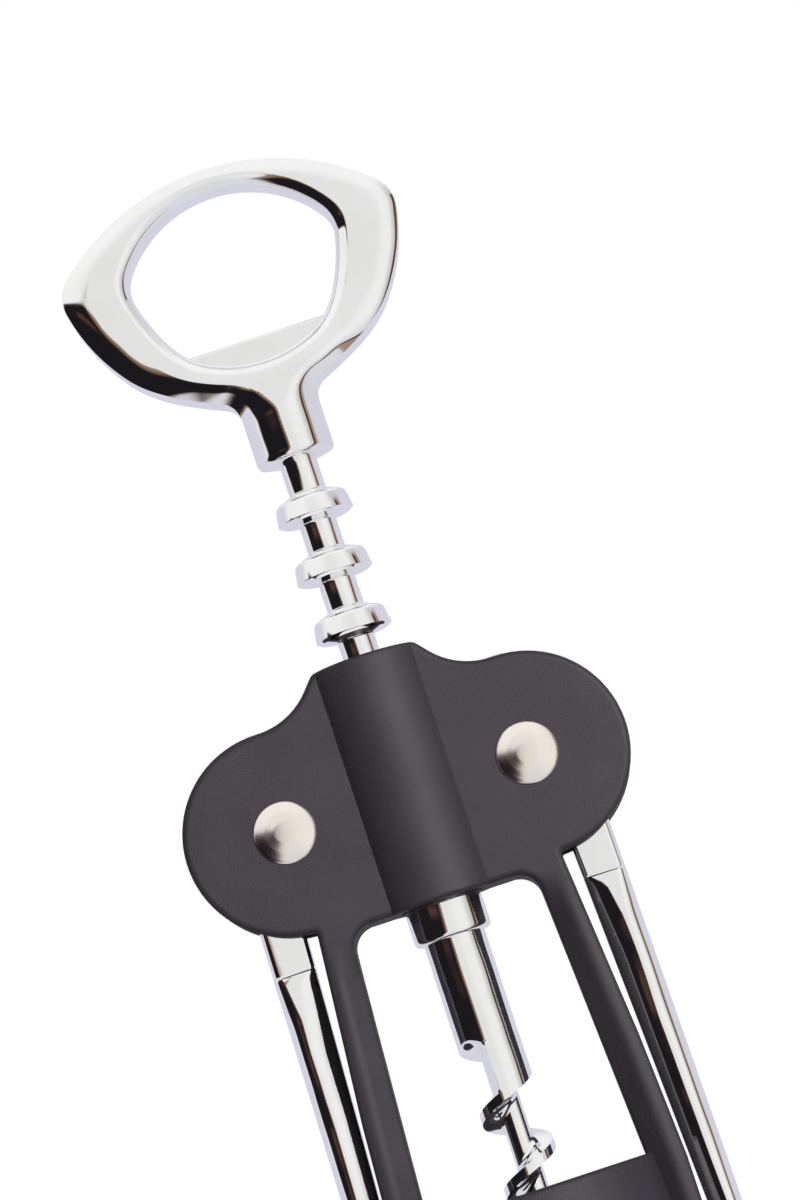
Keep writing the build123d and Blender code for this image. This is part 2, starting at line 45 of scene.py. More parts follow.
# Frame. A leg's face is its half depth at the edge and its rise from there to the crest.
PIVOT_X, PIVOT_Z = 17.70, 85.50
CHEEK_HALF, CHEEK_EDGE, SLOT_HALF = 5.40, 0.90, 2.66
PLATE_Z, LOBE_Z = 69.90, 71.10
LEG_TOP_X, LEG_LEAN = 13.45, math.radians(3.2)
LEG_W, LEG_TOP_W, LEG_FULL_Z, LEG_CREST, LEG_EDGE = 5.20, 4.45, 44.00, 0.62, 0.80
LEG_INNER_FACE, LEG_OUTER_FACE, CREST_BLEND = (3.1, 2.1), (4.7, 0.5), 0.85
WINDOW_R, NOTCH_R = 3.20, 0.50

# Handle. An arc is its radius and the X and height of its middle.
STEM_Z, STEM_R, STEM_EDGE, STEM_END_Z, THROAT_R = 135.50, 5.65, 1.30, 152.0, 2.2
HANDLE_TOP_Z, RING_HALF_D, BROW_R = 179.30, 4.00, 34.0
BROW_ARC = (BROW_R, 0.0, HANDLE_TOP_Z - BROW_R)
FLANK_ARC = (28.0, -2.82, 171.05)
HIP_X, HIP_Z, HIP_SLOPE = 13.0, 147.95, (0.3833, 0.9236)
EYE_TOP_ARC, EYE_FLANK_ARC, EYE_FOOT_ARC = (17.5, 0.0, 158.5), (30.0, -14.14, 171.27), (16.7, 0.0, 167.2)
EYE_MID_Z, EYE_BROW_W, EDGE_STEEP = 160.0, 1.70, math.radians(52.0)
LIP_TOP_Z, LIP_HALF_W, LIP_HALF_T, LIP_EDGE, LIP_SUNK = 154.30, 11.9, 1.20, 0.50, 1.6

# Rack and worm
COLLAR_Z, COLLAR_H, RACK_TOP_Z = 64.60, 7.20, 137.50
RACK_SHAFT_R, RING_R, RING_PITCH, RING_T = 2.68, 5.55, 8.70, 4.10
PITCH_LINE_R, PIVOT_RING_Z, PRESSURE_ANGLE = 3.8535, 84.80, math.radians(20.0)
WORM_R, WORM_CORE_R, WORM_PITCH, FLIGHT_T = 4.40, 1.72, 10.70, 1.40
WORM_TIP_Z, WORM_TIP_R, WORM_POINT_L = 15.60, 0.50, 9.0
GROOVE_TOP_Z, GROOVE_START, GROOVE_WALL = 46.75, math.radians(258.0), 1.6
GROOVE_WALL_MORE, GROOVE_DROOP, GROOVE_FLAT_MAX = 1.8, 1.9, 55

# Levers
SECTOR_TEETH, TOOTH_COUNT, SECTOR_HALF, SECTOR_BEVEL, POST_HOLE_R = 10, 5, 2.50, 0.25, 2.55
TOOTH_ROOM, BACK_DROP, MESH_DROP = 0.15, 1.40, 0.70
ARM_STEP_DROP, ARM_IN_LEAN, ARM_OUT_LEAN = 18.80, math.radians(2.55), math.radians(0.8)
ARM_STEP_IN, ARM_STEP_OUT, ARM_END_Z, ARM_END_R = 2.0, 8.05, 4.50, 1.50

# Rivets: radius and length of each half's shank.
RIVET_FRONT, RIVET_REAR = (2.50, 10.8), (1.49, 10.0)


# Node trees


class Socket:
    """An output in a node tree. Arithmetic on it adds Math nodes."""

    def __init__(self, tree, output):
        self.tree = tree
        self.output = output

    def math(self, operation, *others):
        return self.tree.add("ShaderNodeMath", {"operation": operation}, dict(enumerate((self, *others))))

    def __add__(self, other):
        return self.math("ADD", other)

    def __sub__(self, other):
        return self.math("SUBTRACT", other)

    def __mul__(self, other):
        return self.math("MULTIPLY", other)

    __radd__ = __add__
    __rmul__ = __mul__

    def rise(self, low, high):
        """0 below low, 1 above high, and smooth between; low above high turns it round."""
        settings = {"interpolation_type": "SMOOTHSTEP"}
        inputs = {"Value": self, "From Min": low, "From Max": high}
        return self.tree.add("ShaderNodeMapRange", settings, inputs)

    def mixed(self, first, second):
        """The colour first where this is 0 and second where it is 1."""
        inputs = {"Factor": self, 6: first, 7: second}
        return self.tree.add("ShaderNodeMix", {"data_type": "RGBA"}, inputs, 2)


class Tree:
    """The nodes of a material or of the world, emptied first."""

    def __init__(self, owner):
        owner.use_nodes = True
        self.nodes = owner.node_tree.nodes
        self.links = owner.node_tree.links
        self.nodes.clear()

    def add(self, kind, settings=None, inputs=None, output=0):
        """A new node: its settings first, then values or links for its sockets; gives one of its outputs."""
        node = self.nodes.new(kind)
        for name, value in (settings or {}).items():
            setattr(node, name, value)
        for key, value in (inputs or {}).items():
            if isinstance(value, Socket):
                self.links.new(value.output, node.inputs[key])
            else:
                node.inputs[key].default_value = value
        return Socket(self, node.outputs[output]) if node.outputs else None

    def split(self, vector):
        """The three numbers of a vector."""
        parts = self.add("ShaderNodeSeparateXYZ", None, {0: vector})
        return [Socket(self, output) for output in parts.output.node.outputs]

    def noise(self, place, scale, detail=3.0, roughness=0.5):
        """Soft cloudy values about 0.5 on a place in space."""
        inputs = {"Vector": place, "Scale": scale, "Detail": detail, "Roughness": roughness}
        return self.add("ShaderNodeTexNoise", None, inputs)

    def place(self):
        """The object's own coordinates, in metres."""
        return self.add("ShaderNodeTexCoord", None, None, 3)

    def stretched(self, place, scale):
        """Coordinates scaled by three factors."""
        return self.add("ShaderNodeVectorMath", {"operation": "MULTIPLY"}, {0: place, 1: scale})

    def bumped(self, height, distance, strength=1.0):
        """A normal that follows a height, with distance in metres."""
        inputs = {"Height": height, "Distance": distance, "Strength": strength}
        return self.add("ShaderNodeBump", None, inputs)

    def surface(self, inputs):
        """Makes a principled shader with these inputs the material's surface."""
        shader = self.add("ShaderNodeBsdfPrincipled", None, inputs)
        self.add("ShaderNodeOutputMaterial", None, {"Surface": shader})


def material(name):
    made = bpy.data.materials.new(name)
    return made, Tree(made)


def bright_chrome(name):
    """Polished plating: nearly white metal with slow waves in the casting below it and faint wipe marks."""
    made, tree = material(name)
    place = tree.place()
    cloud = tree.noise(place, 160.0, 4.0)
    wipes = tree.noise(tree.stretched(place, (900.0, 900.0, 140.0)), 1.0, 2.0)
    waves = tree.noise(place, 95.0, 1.0)
    inputs = {
        "Metallic": 1.0,
        "Base Color": cloud.rise(0.3, 0.7).mixed((0.92, 0.92, 0.91, 1), (0.95, 0.95, 0.96, 1)),
        "Roughness": 0.035 + 0.05 * cloud.rise(0.45, 0.75) + 0.03 * wipes.rise(0.5, 0.8),
        "Normal": tree.bumped(waves, 0.0006, 0.5),
    }
    tree.surface(inputs)
    return made


def soft_black(name):
    """Soft-touch paint: charcoal with a trace of plum in slow, faint clouds, and a fine pebbled grain."""
    made, tree = material(name)
    place = tree.place()
    cloud = tree.noise(place, 130.0, 4.0)
    grain = tree.noise(place, 5200.0, 2.0, 0.6)
    inputs = {
        "Base Color": cloud.rise(0.25, 0.75).mixed((0.030, 0.023, 0.031, 1), (0.036, 0.029, 0.038, 1)),
        "Roughness": 0.58 + 0.08 * grain,
        "Specular IOR Level": 0.12,
        "Normal": tree.bumped(grain, 0.00006, 0.6),
    }
    tree.surface(inputs)
    return made


def satin_nickel(name):
    """Rivet metal: warm nickel, turned, so its faint rings run round each rivet."""
    made, tree = material(name)
    x, _, z = tree.split(tree.place())
    across = x.math("ABSOLUTE") - PIVOT_X * MM
    up = z - PIVOT_Z * MM
    out = (across * across + up * up).math("SQRT")
    cloud = tree.noise(tree.place(), 300.0, 3.0)
    rings = (out * 14000.0).math("SINE")
    inputs = {
        "Metallic": 1.0,
        "Base Color": cloud.mixed((0.90, 0.86, 0.78, 1), (0.97, 0.94, 0.88, 1)),
        "Roughness": 0.2 + 0.08 * cloud,
        "Normal": tree.bumped(rings * 0.3 + 3.0 * cloud, 0.00001, 0.5),
    }
    tree.surface(inputs)
    return made


def moulded_black(name):
    """Moulded plastic of the neck guide: near black, slightly glossy, with a faint mould grain."""
    made, tree = material(name)
    place = tree.place()
    grain = tree.noise(place, 1800.0, 3.0)
    inputs = {
        "Base Color": grain.mixed((0.018, 0.018, 0.020, 1), (0.030, 0.030, 0.032, 1)),
        "Roughness": 0.34 + 0.14 * grain,
        "Normal": tree.bumped(grain, 0.00003, 0.5),
    }
    tree.surface(inputs)
    return made


def drawn_steel(name):
    """Cross pin: drawn steel with fine lines along it."""
    made, tree = material(name)
    lines = tree.noise(tree.stretched(tree.place(), (200.0, 6000.0, 6000.0)), 1.0, 2.0)
    inputs = {
        "Metallic": 1.0,
        "Base Color": lines.mixed((0.55, 0.55, 0.56, 1), (0.68, 0.68, 0.69, 1)),
        "Roughness": 0.22 + 0.12 * lines,
        "Normal": tree.bumped(lines, 0.00001, 0.5),
    }
    tree.surface(inputs)
    return made


# Meshes


def skin(grid, round_rows=False, round_columns=False):
    """Vertices and faces of a grid of points: each cell is one face, and the last row or column joins the
    first where it is round. Points that fall together become one, so a row of equal points closes a pole."""
    rows, columns = grid.shape[:2]
    index = np.arange(rows * columns).reshape(rows, columns)
    below = np.roll(index, -1, 0) if round_rows else index[1:]
    here = index if round_rows else index[:-1]
    if round_columns:
        here, below = (np.hstack([a, a[:, :1]]) for a in (here, below))
    corners = np.stack([here[:, :-1], below[:, :-1], below[:, 1:], here[:, 1:]], -1).reshape(-1, 4)
    points = grid.reshape(-1, 3)
    _, first, same = np.unique(np.round(points, 5), axis=0, return_index=True, return_inverse=True)
    return points[first], same.reshape(-1)[corners]


def volume(points, faces):
    """Six times the signed volume of a closed skin, by fans from the origin."""
    a, b, c, d = (points[faces[:, i]] for i in range(4))
    return np.sum(np.cross(a, b) * c) + np.sum(np.cross(a, c) * d)


def piece(name, body, finish, skins, slot, *nodes, crease=38.0):
    """One object from several closed skins, faces outwards, riding on a body and standing for CAD nodes.
    A face with two corners in one place becomes a triangle."""
    all_points, all_faces, count = [], [], 0
    for points, faces in skins:
        if volume(points, faces) < 0:
            faces = faces[:, ::-1]
        all_points.append(points)
        all_faces.append(faces + count)
        count += len(points)
    points = np.vstack(all_points) * MM
    corners = np.vstack(all_faces)
    same = corners == np.roll(corners, -1, 1)
    quads = corners[same.sum(1) == 0]
    pinched, twice = corners[same.sum(1) == 1], same[same.sum(1) == 1].argmax(1)
    triangles = np.take_along_axis(pinched, (twice[:, None] + (1, 2, 3)) % 4, 1)
    mesh = bpy.data.meshes.new(name)
    mesh.from_pydata(points.tolist(), [], quads.tolist() + triangles.tolist())
    mesh.polygons.foreach_set("use_smooth", np.ones(len(mesh.polygons), bool))
    mesh.set_sharp_from_angle(angle=math.radians(crease))
    mesh.materials.append(finish)
    made = bpy.data.objects.new(name, mesh)
    bpy.context.scene.collection.objects.link(made)
    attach(made, body)
    if nodes:
        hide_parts(*nodes)
    return made


def capped(grid):
    """Skin of sections that each run round, closed at both ends by a fan from the section's middle."""
    caps = grid[[0, -1]].mean(1, keepdims=True) + 0 * grid[[0, -1]]
    return skin(np.concatenate([caps[:1], grid, caps[1:]]), round_columns=True)


def bead(points, radii, steps=8):
    """A line of points in a plane whose corners are rounded: each corner with a radius becomes an arc that
    touches both of its straights and takes up at most half of either."""
    line = [np.array(points[0], float)]
    for before, here, after, radius in zip(points, points[1:], points[2:], radii):
        a, p, b = (np.array(q, float) for q in (before, here, after))
        into = (a - p) / np.linalg.norm(a - p)
        out = (b - p) / np.linalg.norm(b - p)
        half = math.acos(np.clip(into @ out, -1, 1)) / 2
        if radius <= 0 or half > 1.56:
            line.append(p)
            continue
        reach = radius / math.tan(half)
        reach = min(reach, np.linalg.norm(a - p) * 0.49, np.linalg.norm(b - p) * 0.49)
        radius = reach * math.tan(half)
        middle = p + (into + out) / np.linalg.norm(into + out) * radius / math.sin(half)
        start, end = p + into * reach - middle, p + out * reach - middle
        turn = np.linspace(0, 1, steps)[:, None] * (math.pi - 2 * half)
        square = end - start * math.cos(math.pi - 2 * half)
        square = square / np.linalg.norm(square) * np.linalg.norm(start)
        line.extend(middle + start * np.cos(turn) + square * np.sin(turn))
    line.append(np.array(points[-1], float))
    return np.array(line)


def lathe(profile, count=128):
    """A (radius, height) line turned about Z: the point at angle a is (r cos a, r sin a, h)."""
    angle = np.linspace(0, 2 * np.pi, count, endpoint=False)[:, None]
    radius, height = profile[:, 0][None], profile[:, 1][None]
    grid = np.stack([radius * np.cos(angle), radius * np.sin(angle), height + 0 * angle], -1)
    return skin(grid, round_rows=True)


def smooth_min(a, b, blend):
    """The lesser of two fields, with the crease between them rounded over the width blend."""
    share = np.clip(0.5 + 0.5 * (b - a) / blend, 0, 1)
    return b * (1 - share) + a * share - blend * share * (1 - share)


def smooth_max(a, b, blend):
    return -smooth_min(-a, -b, blend)


def eased(x):
    """0 to 1 with level ends."""
    x = np.clip(x, 0, 1)
    return x * x * (3 - 2 * x)


# Handle


def arc_inside(arc, side, z):
    """Distance inside an arc's circle."""
    radius, x, height = arc
    return radius - np.hypot(side - x, z - height)


def ring_inside(x, z):
    """Distance inside the ring's outer outline: the least of the brow, the side arcs and the hips."""
    side = np.abs(x)
    hip = (z - HIP_Z) * HIP_SLOPE[1] - (side - HIP_X) * HIP_SLOPE[0]
    brow_and_flank = smooth_min(arc_inside(BROW_ARC, side, z), arc_inside(FLANK_ARC, side, z), 2.2)
    return smooth_min(brow_and_flank, hip, 3.0)


def eye_inside(x, z):
    """Distance inside the eye: the least of its top, side and foot arcs."""
    top, flank, foot = (arc_inside(arc, np.abs(x), z) for arc in (EYE_TOP_ARC, EYE_FLANK_ARC, EYE_FOOT_ARC))
    return smooth_min(smooth_min(top, flank, 1.5), foot, 1.0)


def stem_side(x, z):
    """Distance inside the stem's upright sides, drawn in over its lower edge."""
    edge = np.clip(STEM_EDGE - (z - STEM_Z), 0, STEM_EDGE)
    return STEM_R - STEM_EDGE + np.sqrt(STEM_EDGE**2 - edge**2) - np.abs(x)


def outline_inside(x, z):
    """Distance inside the ring and the stem together, with a hollow round at the throat."""
    return smooth_max(ring_inside(x, z), np.minimum(stem_side(x, z), STEM_END_Z - z), THROAT_R)


def falling(inside, width, ball):
    """Drop of a face towards its edge: a curve of radius ball over the width, which goes on straight once
    it is steep."""
    far = np.clip(width - inside, 0, width)
    near = np.minimum(far, ball * math.sin(EDGE_STEEP))
    return ball - np.sqrt(ball**2 - near**2) + (far - near) * math.tan(EDGE_STEEP)


def half_depth(x, z):
    """Distance of the front face from the middle plane. The ring swells into the stem, and its edge turns
    more tightly at the hips. The stem is nearly round in front. The eye has a crisp brow: its face slopes
    by a parabola and then drops by a quarter of an oval."""
    side = np.abs(x)
    inside = outline_inside(x, z)
    swell_z, swell, foot_edge, drop_w, drop = 157.0, 1.5, 1.2, 0.5, 1.3
    level = RING_HALF_D + swell * eased((swell_z - z) / 12.0) * eased((22.0 - side) / 18.0)
    hip = eased((16.0 - side) / 6.0) * eased((swell_z - z) / 6.0)
    stem = eased((147.5 - z) / 5.0)
    width = (3.1 - 0.5 * hip) * (1 - stem) + STEM_R * stem
    ball = (4.4 - 2.4 * hip) * (1 - stem) + 5.1 * stem
    lower = np.clip(foot_edge - (z - STEM_Z), 0, foot_edge)
    foot = foot_edge - np.sqrt(foot_edge**2 - lower**2)
    near = np.clip(EYE_BROW_W + eye_inside(x, z), 0, EYE_BROW_W)
    steep = np.clip((near - (EYE_BROW_W - drop_w)) / drop_w, 0, 1)
    eye = 0.3 * near + 0.28 * near**2 + drop * (1 - np.sqrt(1 - steep**2))
    return level - falling(inside, width, ball) - foot - eye


def crossing(field, dx, dz, low, high):
    """Distance along each ray from the eye's middle at which a field changes sign, by halving the interval
    from low to high."""
    inside = field(dx * low, EYE_MID_Z + dz * low) > 0
    for _ in range(40):
        middle = (low + high) / 2
        same = (field(dx * middle, EYE_MID_Z + dz * middle) > 0) == inside
        low, high = np.where(same, middle, low), np.where(same, high, middle)
    return low


def handle_skin():
    """Rays from the eye's middle, from the eye's edge to the outer edge. Along each ray the front stands
    half_depth before the middle plane and the rear as far behind it. Rays crowd at the throat and at the
    ring's corners, and steps crowd towards both edges."""
    turn = np.linspace(0, 2 * np.pi, 4000)
    off_stem = np.abs(turn - np.pi)
    throat, corner = 0.29, 1.95
    weight = 1 + 9 * np.exp(-(((off_stem - throat) / 0.09) ** 2))
    weight = weight + 3 * np.exp(-(((off_stem - corner) / 0.1) ** 2))
    total = np.cumsum(weight)
    total = (total - total[0]) / (total[-1] - total[0])
    angle = np.interp(np.linspace(0, 1, 560, endpoint=False), total, turn)
    dx, dz = np.sin(angle), np.cos(angle)
    zero = np.zeros_like(angle)
    start = crossing(eye_inside, dx, dz, zero + 1.0, zero + 25.0)
    end = crossing(outline_inside, dx, dz, start + 0.5, zero + 45.0)
    end = np.where(dz < 0, np.minimum(end, (EYE_MID_Z - STEM_Z) / -np.minimum(dz, -0.01)), end)
    share = (1 - np.cos(np.linspace(0, np.pi, 44))) / 2
    reach = start[:, None] + (end - start)[:, None] * share
    x, z = reach * dx[:, None], EYE_MID_Z + reach * dz[:, None]
    depth = half_depth(x, z)
    front = np.stack([x, -depth, z], -1)
    rear = np.stack([x, depth, z], -1)[:, ::-1]
    return skin(np.concatenate([front, rear], 1), round_rows=True, round_columns=True)


def lip_skin():
    """Web across the eye's foot: a thin upright section with a rounded top edge, carried along X, whose
    foot follows the eye's lower arc, sunk in the ring."""
    x = np.linspace(-LIP_HALF_W, LIP_HALF_W, 60)[:, None]
    foot_r, _, foot_z = EYE_FOOT_ARC
    foot = foot_z - np.sqrt(foot_r**2 - x**2) - LIP_SUNK
    arc = np.linspace(0, np.pi / 2, 7)
    fall, rise = LIP_EDGE * np.cos(arc), LIP_EDGE * np.sin(arc)
    half = LIP_HALF_T
    y = np.concatenate([[-half], -half + LIP_EDGE - fall, half - LIP_EDGE + rise, [half]])
    drop = np.concatenate([[1], LIP_EDGE - rise, LIP_EDGE - fall, [1]])
    z = np.where(np.arange(len(y)) % (len(y) - 1) == 0, foot, LIP_TOP_Z - drop[None] * (drop < 1))
    return capped(np.stack([x + 0 * z, y[None] + 0 * z, z], -1))


# Rack and worm


def rack_profile():
    """Half section of the rack: shaft, seven rings with sloping flanks and soft rims, and the collar."""
    slope = math.tan(PRESSURE_ANGLE)
    tip = RING_T / 2 - (RING_R - PITCH_LINE_R) * slope
    root = RING_T / 2 + (PITCH_LINE_R - RACK_SHAFT_R) * slope
    collar_top = COLLAR_Z + COLLAR_H
    line = [(0, COLLAR_Z), (RING_R, COLLAR_Z), (RING_R, collar_top), (RACK_SHAFT_R, collar_top)]
    radii = [0.8, 0.8, 0.2]
    for i in range(-1, 6):
        z = PIVOT_RING_Z + i * RING_PITCH
        line += [(RACK_SHAFT_R, z - tip - 0.55), (RING_R - 0.6, z - tip - 0.12), (RING_R, z - tip + 0.25)]
        line += [(RING_R - 0.42, z + tip), (RACK_SHAFT_R, z + root)]
        radii += [0.3, 0.5, 0.15, 0.9, 0.25]
    line += [(RACK_SHAFT_R, RACK_TOP_Z), (0, RACK_TOP_Z)]
    radii.append(0)
    return bead(line, radii)


def worm_skin():
    """Auger left by one milled groove. Across one pitch the radius falls from the flight to the core and
    back along rounded walls; this profile is carried round a helix whose turn 0 is the groove's upper end,
    and each turn ends where the next begins. At that end the walls are wider and the flight's lip droops.
    The groove's floor starts as a flat that faces left and then follows the core. A cone takes the flight
    down to the point. Steps crowd at the groove's upper wall and at its end."""
    lower, upper = np.linspace(0.064, 0.72, 36), np.linspace(0.72, 0.94, 64)[1:]
    across = np.concatenate([[0, 0.03], lower, upper, [0.97, 1]])
    wide, fine = np.linspace(0, 0.8, 56, endpoint=False), np.linspace(0.8, 1, 60, endpoint=False)
    turns = (np.arange(-4, 3)[:, None] + np.concatenate([wide, fine])).reshape(-1, 1)
    droop = GROOVE_DROOP * np.clip((turns + 0.12) / 0.12, 0, 1) ** 2
    near = np.minimum(across * WORM_PITCH, (1 - across) * WORM_PITCH - droop) - FLIGHT_T / 2
    wall = np.clip(near / (GROOVE_WALL + GROOVE_WALL_MORE * eased((turns + 0.22) / 0.18)), 0, 1)
    z = GROOVE_TOP_Z + (turns + across - 0.5) * WORM_PITCH
    run_in = np.clip((0.01 - turns) / 0.07, 0, 1)
    flat = np.radians(np.clip(360 * turns + 53.0, 0, GROOVE_FLAT_MAX))
    depth = (WORM_R - WORM_CORE_R / np.cos(flat)) * np.sqrt(1 - (1 - run_in) ** 2)
    radius = WORM_R - depth * np.sqrt(1 - (1 - wall) ** 2)
    top_z = COLLAR_Z + 0.5
    ended = (z <= WORM_TIP_Z) | (z >= top_z)
    z = np.clip(z, WORM_TIP_Z, top_z)
    point = WORM_TIP_R + (z - WORM_TIP_Z) / WORM_POINT_L * (WORM_R - WORM_TIP_R)
    radius = np.minimum(radius, point) * ~ended
    angle = 2 * np.pi * turns + GROOVE_START
    return skin(np.stack([radius * np.cos(angle), radius * np.sin(angle), z], -1))


# Levers


def involute_angle(radius, base):
    """Angle that an involute of a base circle has turned through at a radius: tan s - s, where the cosine
    of s is base over radius."""
    slope = np.arccos(np.clip(base / radius, 0, 1))
    return np.tan(slope) - slope


def sector_outline():
    """Angles and radii round the pivot: five involute teeth on the root circle, then the plain back."""
    pitch_r = RING_PITCH * SECTOR_TEETH / (2 * math.pi)
    tip_r, root_r = PIVOT_X - RACK_SHAFT_R - TOOTH_ROOM, PIVOT_X - RING_R - TOOTH_ROOM
    base = pitch_r * math.cos(PRESSURE_ANGLE)
    half = (RING_PITCH / 2 - TOOTH_ROOM) / (2 * pitch_r) + involute_angle(pitch_r, base)
    up = np.linspace(base, tip_r, 8)
    lean = half - involute_angle(up, base)
    one_angle = np.concatenate([[-half], -lean, lean[::-1], [half]])
    one_radius = np.concatenate([[root_r], up, up[::-1], [root_r]])
    mesh = math.pi + MESH_DROP / pitch_r
    step = 2 * math.pi / SECTOR_TEETH
    middles = mesh + step / 2 - np.arange(TOOTH_COUNT - 1, -1, -1)[:, None] * step
    gaps = np.linspace(half, step - half, 8)[1:-1]
    teeth = np.hstack([middles + one_angle, middles + gaps])
    radii = np.tile(np.concatenate([one_radius, 0 * gaps + root_r]), (TOOTH_COUNT, 1))
    low, high = mesh + step, mesh - 4.8 * step + 2 * math.pi
    back = np.linspace(low, high, 60)
    kept = teeth.ravel() < low
    angle = np.concatenate([teeth.ravel()[kept], [low], back, [high]])
    radius = np.concatenate([radii.ravel()[kept], [root_r], 0 * back + tip_r - BACK_DROP, [root_r]])
    return angle, radius


def blade_skin():
    """Toothed sector of the right lever: for each angle a section across it, from the rivet hole out to
    the outline with a small bevel and back."""
    angle, radius = sector_outline()
    hole, bevelled, half = 0 * radius + POST_HOLE_R, radius - SECTOR_BEVEL, SECTOR_HALF
    r = np.stack([hole, bevelled, radius, radius, bevelled, hole], 1)
    y = np.array([-half, -half, -half + SECTOR_BEVEL, half - SECTOR_BEVEL, half, half])[None] + 0 * r
    x = PIVOT_X + r * np.cos(angle)[:, None]
    z = PIVOT_Z + r * np.sin(angle)[:, None]
    return skin(np.stack([x, y, z], -1), round_rows=True, round_columns=True)


def arm_skin():
    """Arm of the right lever: a section with oval corners, carried downwards past the step, where it
    deepens and its corners begin to widen until only a narrow facet is left, to the rounded end. The tables
    give the half depth and the corners' reach along X and Y at heights."""
    fine = np.linspace(0, np.pi / 2, 7)
    step = np.array([67.2, 66.85, 66.72, 66.6, 66.4, 66.1, 65.8])
    end = ARM_END_Z + ARM_END_R * (1 - np.sin(fine))
    z = np.concatenate([[PIVOT_Z, 75.0], step, np.linspace(65.4, ARM_END_Z + ARM_END_R, 60), end])
    below_step = PIVOT_Z - z - ARM_STEP_DROP
    pull = np.concatenate([np.zeros(len(z) - len(fine)), ARM_END_R * (1 - np.cos(fine))])
    inner = ARM_STEP_IN + below_step * math.tan(ARM_IN_LEAN) + pull
    outer = ARM_STEP_OUT + below_step * math.tan(ARM_OUT_LEAN) - pull
    height = [4.5, 40.0, 65.8, 66.4, 66.6, 66.72, 66.85, 90.0]
    half = np.interp(z, height, [5.3, 4.4, 3.8, 3.72, 3.5, 2.9, 2.49, 2.49]) - pull
    mark = [4.5, 25.0, 45.0, 60.0, 66.0, 67.0, 90.0]
    out_x = np.interp(z, mark, [2.2, 2.7, 2.9, 2.4, 1.5, 1.1, 1.0])
    out_y = np.minimum(np.interp(z, mark, [3.2, 3.1, 3.1, 2.9, 2.0, 1.7, 1.6]), half - 0.1)
    in_mark = [4.5, 25.0, 45.0, 55.0, 61.0, 65.0, 66.7, 90.0]
    in_x = np.interp(z, in_mark, [3.2, 3.3, 3.5, 4.0, 3.2, 2.7, 0.7, 0.6])
    in_y = np.minimum(0.65 * in_x, half - 0.1)
    squeeze = np.minimum(1, (outer - inner) / (out_x + in_x + 0.2))  # the corners never cross
    inner, outer, half = inner[:, None], outer[:, None], half[:, None]
    out_x, out_y, in_x, in_y = (a[:, None] for a in (out_x * squeeze, out_y, in_x * squeeze, in_y))
    rise = np.sin(np.linspace(0, np.pi / 2, 13))[None]
    fall = rise[:, ::-1]
    x = np.hstack([outer - out_x * (1 - rise), outer - out_x * (1 - fall)])
    x = np.hstack([x, inner + in_x * (1 - rise**1.35), inner + in_x * (1 - fall**1.35)])
    y = np.hstack([-half + out_y * (1 - fall), half - out_y * (1 - rise)])
    y = np.hstack([y, half - in_y * (1 - fall**1.35), -half + in_y * (1 - rise**1.35)])
    return capped(np.stack([PIVOT_X + x, y, z[:, None] + 0 * x], -1))


def other_side(a_skin):
    """The same skin on the other side of the screw, its faces turned to point outwards again."""
    points, faces = a_skin
    return points * (-1, 1, 1), faces[:, ::-1]


# Leg roots


def round_union(a, b, radius):
    """Distance inside two forms together, with a hollow round of the radius where they meet."""
    both = (a > -radius) & (b > -radius)
    return np.where(both, np.hypot(a + radius, b + radius) - radius, np.maximum(a, b))


def leg_side(z):
    """Inner side of the right leg at a height."""
    return LEG_TOP_X + (PLATE_Z - z) * math.tan(LEG_LEAN)


def leg_half(across, width):
    """Half depth of a leg at a distance across it from its inner side: a rounded crest, faces that fall
    steeply inwards and gently outwards, and rounded edges."""
    crest = LEG_CREST * width
    (inner, inner_rise), (outer, outer_rise) = LEG_INNER_FACE, LEG_OUTER_FACE
    roof = [(across, inner, inner_rise / crest), (width - across, outer, outer_rise / (width - crest))]
    half = -smooth_max(*(-(level + slope * reach) for reach, level, slope in roof), CREST_BLEND)
    for reach, level, slope in roof:
        lean = np.arctan(slope)
        low = level + LEG_EDGE * slope - LEG_EDGE / np.cos(lean)
        arc = low + np.sqrt(LEG_EDGE**2 - np.clip(LEG_EDGE - reach, 0, LEG_EDGE) ** 2)
        half = np.where(reach < LEG_EDGE * (1 - np.sin(lean)), arc, half)
    return half


